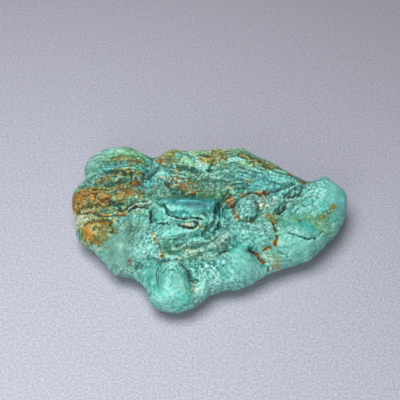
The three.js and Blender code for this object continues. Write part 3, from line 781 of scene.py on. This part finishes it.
# Patches that darken the tone: mostly painted shade, partly darker streaks and stone.
PATCHES["darker_tone_and_painted_shade"] = [
    (-2, -6.6, 3, 1, 1), (-1.6, -1.2, 1.6, 0.6, 0.5), (-7.4, -13.4, 2, 1, 0.2),
    (-2, -11.2, 1.2, 1.6, 0.3), (4.4, 7, 3.2, 1.2, 0.7), (-16, 9.7, 5, 0.7, 0.6),
    (-16, 11.6, 3.6, 0.6, 0.5), (-10.2, 9.4, 1.2, 1.4, 0.6), (-7.7, 10.4, 2, 0.9, 0.9),
    (-15.4, -8.2, 2.6, 2, 0.6), (-3.6, -1.9, 2, 0.5, 0.3), (-1.4, -4.8, 2.4, 0.6, 0.4, 10),
    (-2.4, -6.1, 3.4, 0.7, 0.7), (-7.6, 8, 1.6, 1.4, 0.4), (3.6, -9.6, 0.9, 1.6, 0.4, -30),
    (-7, -12.4, 1.4, 1.2, 0.5), (-2.4, -10.6, 1.4, 1.4, 0.5), (0.4, -10.2, 1.2, 1, 0.5),
    (-0.4, 6.8, 3, 1.4, 0.9), (16.7, 7.2, 1.6, 0.8, 0.5), (16.7, -2.2, 1.6, 0.8, 0.5),
    (2.8, -10.6, 1.6, 1.2, 0.5), (-7, 8.8, 1.8, 0.5, 0.3, -10), (-7.6, 6.8, 1.6, 1.2, 0.7),
    (-7.6, -0.4, 1.2, 0.8, 0.4), (-7.7, -3.4, 1.2, 1, 0.4), (6.2, -6.2, 1.6, 1.2, 0.7),
    (-18.6, -5.6, 1, 1.4, 0.4), (3.7, 3.2, 1.8, 2.4, 0.6), (-3, 4, 6, 1.2, 0.9),
    (-2, 0.5, 5.8, 1.1, 0.6, -2), (1, -1.6, 1.4, 1.2, 0.5), (-3.4, -6, 2.8, 0.8, 0.8),
    (4.6, -5.2, 1.2, 0.7, 0.6, -30), (-12.6, -9.6, 2.2, 1.6, 0.5), (-9, -11.8, 1.2, 3, 0.5),
    (1.8, 1.2, 0.6, 2.8, 0.8), (1.2, -2.6, 0.9, 1.6, 0.4, -20), (-1, -4.9, 1.9, 0.6, 0.8, 30),
    (-14.5, -9, 3, 1.6, 0.5), (-17.6, 9, 5, 0.8, 0.5), (-6.4, 5.4, 3, 1.2, 0.5),
    (1.8, -3.4, 1, 2.6, 0.4, -30), (-10.4, 9.9, 2, 0.8, 0.7, 35), (-3.6, -3, 3, 0.7, 0.9),
    (-15.4, 3, 4.4, 0.8, 0.6), (-13.6, 7.4, 3, 1.6, 0.5), (8, 6.4, 4, 1.2, 0.2), (2.6, 7.4, 4, 1.6, 0.5),
    (18, -7.2, 5, 0.8, 0.4, 24), (-15, -6, 3.4, 4.4, 0.4), (9.4, 10.4, 3.4, 1.4, 0.4, -28),
    (-8, 11.8, 2.4, 1.6, 0.4),
]
# Patches that lighten the tone: mostly painted light and painted highlights on fronts, walls and the
# right-hand lobe; one brightens the rust ring.
PATCHES["lighter_tone_and_painted_light"] = [
    (8.8, -10.2, 2.6, 1.4, 0.6, 30), (16.8, -6.8, 2.4, 1.2, 0.5, 20), (-12, -7.8, 2.4, 1.2, 0.5),
    (5, -11.4, 2, 1.2, 0.4, 20), (-1.2, -13.2, 1.9, 1.6, 0.9), (-6.2, -15.3, 3.2, 1.3, 0.5),
    (22, 4.2, 2.4, 1.5, 0.7), (-12.6, 1.4, 1.6, 0.9, 0.3), (-21.6, -2.8, 0.8, 1.6, 0.6, 10),
    (-22.6, 1, 2.4, 1.2, 0.15), (19.8, 4.6, 1.6, 1, 0.5), (24, 3, 1.4, 3.4, 0.7),
    (0.9, -1.9, 1.4, 1.6, 1), (-2.2, -4.2, 2, 0.5, 0.3), (4.6, -7.2, 1.4, 1.2, 0.5),
    (0.4, -12.4, 1.8, 1.8, 1.2), (-7.7, -8.4, 1.8, 0.8, 0.7), (0.5, -8.4, 1.6, 1, 1.1),
    (8.8, -8.2, 1.4, 0.8, 0.9, -20), (3.2, 0.4, 1.2, 1.8, 0.9), (-5, -11, 1, 1.6, 0.8),
    (10.2, -2.4, 2.4, 2, 0.6), (10.6, 1.6, 2.2, 1.6, 0.5), (22.6, 4.4, 1.8, 2.6, 1.2),
    (22.4, -1, 1.4, 1.4, 0.6), (8.6, 6.6, 2.2, 1, 0.7), (-7.7, -5.6, 1.4, 1, 0.6),
    (0.5, -3.6, 1.2, 1.4, 0.7), (-23.8, 1.4, 1.4, 1.8, 0.6), (-7.7, 13.2, 1.6, 0.8, 0.8),
    (-2.4, 13, 2.2, 0.8, 0.9), (3.4, 13, 3, 0.8, 0.5), (-16, 14.4, 3.6, 0.8, 0.6, -4),
    (19.5, -2.8, 1.8, 1.4, 0.6), (-5, -8.6, 1.2, 0.8, 0.7), (-8.2, 8.8, 1.7, 0.6, 0.4, -10),
    (-1.2, 10.1, 0.9, 1, 0.8, -40), (-6.4, -10.8, 1.8, 1.4, 0.6), (19.4, 4.6, 2, 1.6, 0.5),
    (14.6, -6.4, 2, 1.2, 0.3, 20), (-6.2, -1.3, 2.8, 0.6, 0.6, -4), (-4.2, -4.9, 3.4, 0.6, 0.4),
]
PATCHES["cream"] = [
    (5, -0.9, 0.9, 0.3, 0.9, -50), (8.2, -0.7, 0.4, 0.4, 0.8), (-3.4, -3.4, 1.2, 0.3, 0.8),
    (-6.4, 7.4, 3.2, 2.2, 0.5), (-22.6, 1.2, 3.4, 2.4, 0.5), (-13, 2.4, 3.6, 1.2, 0.55),
    (11.8, -8.4, 2.2, 1.2, 0.45), (-3, -7.8, 4, 1.2, 0.3), (9.4, 3, 1.6, 2.6, 0.45),
    (13.3, 2.4, 0.4, 0.9, 0.8, -30), (-19.4, -5.4, 1.6, 0.25, 0.7, -30), (-2.7, -13.4, 0.4, 1.6, 0.8, 20),
    (-15.2, 6.2, 3.8, 2, 0.55), (-22, 0.4, 1.6, 0.5, 0.5), (-9.2, -7.2, 0.6, 1.4, 0.5, 20),
    (12.4, -7, 1.8, 0.5, 0.4, 20),
]


def store_masks(mesh, masks):
    """Keep each mask on the mesh as a number at every vertex."""
    for name, values in masks.items():
        layer = mesh.attributes.new(name, "FLOAT", "POINT")
        layer.data.foreach_set("value", values.astype(np.float32))


# ------------ material

WALL_BEND = 0.7  # size of the bends in a cell's walls, and how far they shift it, in cells
WALL_SHIFT = 0.8


class Graph:
    """Small helpers to wire a material's nodes."""

    def __init__(self, material):
        self.nodes = material.node_tree.nodes
        self.links = material.node_tree.links
        self.where = self.nodes.new("ShaderNodeTexCoord").outputs["Object"]

    def feed(self, socket, value):
        """Put a number, a colour or another node's output into a socket."""
        if isinstance(value, bpy.types.NodeSocket):
            self.links.new(value, socket)
        else:
            socket.default_value = value

    def mask(self, name):
        """A number kept on the mesh's vertices."""
        node = self.nodes.new("ShaderNodeAttribute")
        node.attribute_name = name
        return node.outputs["Fac"]

    def noise(self, size, detail=3.0, rough=0.55):
        """Noise from 0 to 1 whose features are about the given size in millimetres."""
        node = self.nodes.new("ShaderNodeTexNoise")
        node.inputs["Scale"].default_value = 1 / (size * MM)
        node.inputs["Detail"].default_value = detail
        node.inputs["Roughness"].default_value = rough
        self.links.new(self.where, node.inputs["Vector"])
        return node.outputs["Fac"]

    def grains(self, size):
        """The distance to the nearest of scattered grains about the given size in millimetres."""
        node = self.nodes.new("ShaderNodeTexVoronoi")
        node.inputs["Scale"].default_value = 1 / (size * MM)
        self.links.new(self.where, node.inputs["Vector"])
        return node.outputs["Distance"]

    def math(self, operation, first, second=0.0, third=0.0):
        """One sum on up to three numbers or outputs."""
        node = self.nodes.new("ShaderNodeMath")
        node.operation = operation
        for socket, value in zip(node.inputs, (first, second, third)):
            self.feed(socket, value)
        return node.outputs[0]

    def sum(self, *parts, start=0.0):
        """A weighted sum: each part is an output and its weight."""
        total = start
        for part, weight in parts:
            total = self.math("MULTIPLY_ADD", part, weight, total)
        return total

    def cracks(self, size):
        """The distance to the wandering walls of cells about the given size in millimetres."""
        shift = self.nodes.new("ShaderNodeTexNoise")
        shift.inputs["Scale"].default_value = 1 / (WALL_BEND * size * MM)
        self.links.new(self.where, shift.inputs["Vector"])
        moved = self.nodes.new("ShaderNodeVectorMath")
        moved.operation = "MULTIPLY_ADD"
        self.links.new(shift.outputs["Color"], moved.inputs[0])
        moved.inputs[1].default_value = (WALL_SHIFT * size * MM,) * 3
        self.links.new(self.where, moved.inputs[2])
        node = self.nodes.new("ShaderNodeTexVoronoi")
        node.feature = "DISTANCE_TO_EDGE"
        node.inputs["Scale"].default_value = 1 / (size * MM)
        self.links.new(moved.outputs[0], node.inputs["Vector"])
        return node.outputs["Distance"]

    def ramp(self, value, shades):
        """A colour that runs through evenly spaced shades as the value goes from 0 to 1."""
        node = self.nodes.new("ShaderNodeValToRGB")
        stops = node.color_ramp.elements
        while len(stops) < len(shades):
            stops.new(0.5)
        for index, shade in enumerate(shades):
            stops[index].position = index / (len(shades) - 1)
            stops[index].color = srgb(*shade)
        self.links.new(value, node.inputs["Fac"])
        return node.outputs["Color"]

    def rise(self, value, low, high):
        """0 at low, 1 at high, and a smooth change between them; low may be the larger of the two."""
        node = self.nodes.new("ShaderNodeMapRange")
        node.interpolation_type = "SMOOTHSTEP"
        self.feed(node.inputs["Value"], value)
        node.inputs["From Min"].default_value = low
        node.inputs["From Max"].default_value = high
        return node.outputs["Result"]

    def mix(self, share, first, second):
        """One colour laid over another by a share from 0 to 1."""
        node = self.nodes.new("ShaderNodeMix")
        node.data_type = "RGBA"
        self.feed(node.inputs["Factor"], share)
        first_colour, second_colour = [socket for socket in node.inputs if socket.type == "RGBA"]
        self.feed(first_colour, first)
        self.feed(second_colour, second)
        return next(socket for socket in node.outputs if socket.type == "RGBA")


# Dark, middle and light shades of the plain stone.
PLAIN_SHADES = [(28, 94, 88), (90, 178, 164), (160, 230, 216)]

# What lies over it, in this order: the levels between which its mask shows, and its shades.
LAYERS = {
    "green": (0.2, 0.8, [(30, 78, 52), (86, 154, 106), (172, 224, 172)]),
    "dull": (0.2, 0.8, [(54, 100, 90), (112, 168, 152), (176, 222, 202)]),
    "deep": (0.2, 0.8, [(14, 80, 84), (44, 144, 144), (104, 206, 202)]),
    # The pale and cyan layers are partly paler stone and partly painted light on the fronts and rims.
    "pale": (0.3, 0.9, [(48, 146, 138), (116, 210, 196), (178, 238, 228)]),
    "cyan_and_painted_light": (0.3, 0.9, [(24, 128, 122), (84, 200, 186), (146, 236, 226)]),
    "olive": (0.35, 0.7, [(42, 48, 16), (112, 114, 40), (184, 184, 112)]),
    "cream": (0.45, 0.7, [(100, 106, 74), (174, 186, 148), (230, 236, 210)]),
    "rust": (0.4, 0.7, [(46, 34, 16), (140, 98, 28), (212, 154, 46)]),
}
# Colours of the small marks: dark specks, partly painted shade in tiny pits; hair cracks; pale flecks,
# partly painted glints; seams, partly painted shade in creases.
DARK_SPECK_AND_PIT_SHADE_COLOUR = (40, 74, 64)
CRACK_COLOUR = (50, 66, 54)
FLECK_AND_GLINT_COLOUR = (204, 238, 222)
SEAM_AND_CREASE_SHADE_COLOUR = (34, 46, 38)

# How far each thing moves the tone, which goes from 0, dark, to 1, light.
TONE_MIDDLE = 0.51
TONE_STREAK = 0.13
TONE_GRAIN = 1.35
TONE_PAINTED_HOLLOW_SHADE = -0.19
TONE_DARKER_AND_PAINTED_SHADE = -0.38
TONE_LIGHTER_AND_PAINTED_LIGHT = 0.32

BUMP_STRENGTH = 0.8
BUMP_HEIGHT = 0.2


def turquoise_material():
    """Turquoise with green, olive and rusty parts, dark seams and a waxy or grainy skin, with painted
    light and shade: darker hollows, creases and patches, and lighter patches, glints and rims.
    """
    material = bpy.data.materials.new("turquoise")
    material.use_nodes = True
    graph = Graph(material)
    shader = graph.nodes["Principled BSDF"]
    streak = graph.mask("streak")
    hollow = graph.mask("hollow")
    rough = graph.mask("rough")
    smooth = graph.mask("smooth")
    broad = graph.noise(size=3, detail=2)
    middle = graph.noise(size=1.4, detail=4, rough=0.6)
    fine = graph.noise(size=0.5, rough=0.6)
    speck = graph.noise(size=0.26, detail=2, rough=0.6)

    # The tone runs from dark to light: it follows streaks and grain, is darker in hollows as painted
    # shade, and is moved by patches of painted shade and painted light.
    unrest = graph.rise(graph.sum((rough, 0.4), (broad, 2.4), start=-0.45), 0, 1.2)
    crumbs = graph.math("MULTIPLY", graph.sum((fine, 1.6), (speck, 1.5), start=-1.55), unrest)
    grain = graph.sum((crumbs, 1), (middle, 1.1), (speck, 0.9), start=-1)
    calm = graph.math("MULTIPLY_ADD", smooth, -0.68, 1)
    grain = graph.math("MULTIPLY", grain, calm)
    tone = graph.sum(
        (streak, TONE_STREAK),
        (grain, TONE_GRAIN),
        (hollow, TONE_PAINTED_HOLLOW_SHADE),
        (graph.mask("darker_tone_and_painted_shade"), TONE_DARKER_AND_PAINTED_SHADE),
        (graph.mask("lighter_tone_and_painted_light"), TONE_LIGHTER_AND_PAINTED_LIGHT),
        start=TONE_MIDDLE,
    )

    # The layers' edges are ragged, and none shows where its mask is next to nothing.
    frayed = graph.noise(size=1.3, detail=4, rough=0.65)
    crumbly = graph.noise(size=0.42, detail=2)
    ragged = graph.sum((streak, 0.15), (frayed, 2.2), (crumbly, 1.3), start=-1.75)
    colour = graph.ramp(tone, PLAIN_SHADES)
    for name, (low, high, shades) in LAYERS.items():
        mask = graph.mask(name)
        share = graph.rise(graph.sum((mask, 1), (ragged, 1)), low, high)
        share = graph.math("MULTIPLY", share, graph.rise(mask, 0.02, 0.2))
        colour = graph.mix(share, colour, graph.ramp(tone, shades))

    # Dark specks, partly painted shade in tiny pits, and hair cracks, most in the rough parts, then pale
    # flecks, partly painted glints, and seams, partly painted shade in creases.
    crack = graph.rise(graph.cracks(1.5), 0.06, 0)
    crack = graph.math("MULTIPLY", crack, graph.rise(graph.sum((middle, 1), (rough, 0.12)), 0.5, 0.6))
    crack = graph.math("MAXIMUM", crack, graph.rise(graph.mask("lines"), 0.25, 0.8))
    # Dark specks: partly dark grains, partly painted shade in tiny pits, a little more where the surface
    # is hollow.
    dark_speck_and_pit_shade = graph.rise(graph.sum((speck, 1), (fine, 0.6), (hollow, 0.035), (rough, 0.05)), 0.93, 1.02)
    # Pale flecks: partly pale grains, partly painted glints of the sparkling surface.
    fleck_and_glint = graph.rise(graph.sum((speck, -1), (fine, -0.5), (rough, 0.04)), -0.60, -0.53)
    # Seams darken the colour: partly their dark filling, partly painted shade in the creases.
    seam_and_crease_shade = graph.rise(graph.sum((graph.mask("seam_and_crease_shade"), 1), (ragged, 0.6)), 0.4, 0.7)
    for mark, strength, shade in (
        (dark_speck_and_pit_shade, 0.75, DARK_SPECK_AND_PIT_SHADE_COLOUR),
        (crack, 0.8, CRACK_COLOUR),
        (fleck_and_glint, 0.55, FLECK_AND_GLINT_COLOUR),
        (seam_and_crease_shade, 1, SEAM_AND_CREASE_SHADE_COLOUR),
    ):
        colour = graph.mix(graph.math("MULTIPLY", mark, strength), colour, srgb(*shade))
    graph.links.new(colour, shader.inputs["Base Color"])

    gloss = graph.sum((smooth, -0.1), (speck, 0.4), start=0.28)
    graph.links.new(gloss, shader.inputs["Roughness"])
    grains = graph.grains(0.38)
    height = graph.sum((grains, -0.5), (fine, 1), (speck, 0.8), (dark_speck_and_pit_shade, -0.3), (crack, -0.5))
    bump = graph.nodes.new("ShaderNodeBump")
    bump.inputs["Strength"].default_value = BUMP_STRENGTH
    bump.inputs["Distance"].default_value = BUMP_HEIGHT * MM
    graph.links.new(graph.math("MULTIPLY", height, calm), bump.inputs["Height"])
    graph.links.new(bump.outputs["Normal"], shader.inputs["Normal"])
    return material


# ------------ making it

bpy.context.scene.view_settings.view_transform = "Standard"
add_camera()
add_floor()
add_light()

stone = fine_stone()
store_masks(stone.data, shape_stone(stone))
stone.data.materials.clear()
stone.data.materials.append(turquoise_material())
stone.data.transform(Matrix.Scale(MM, 4))
stone.data.shade_smooth()
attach(stone, "root")
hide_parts(NODE)
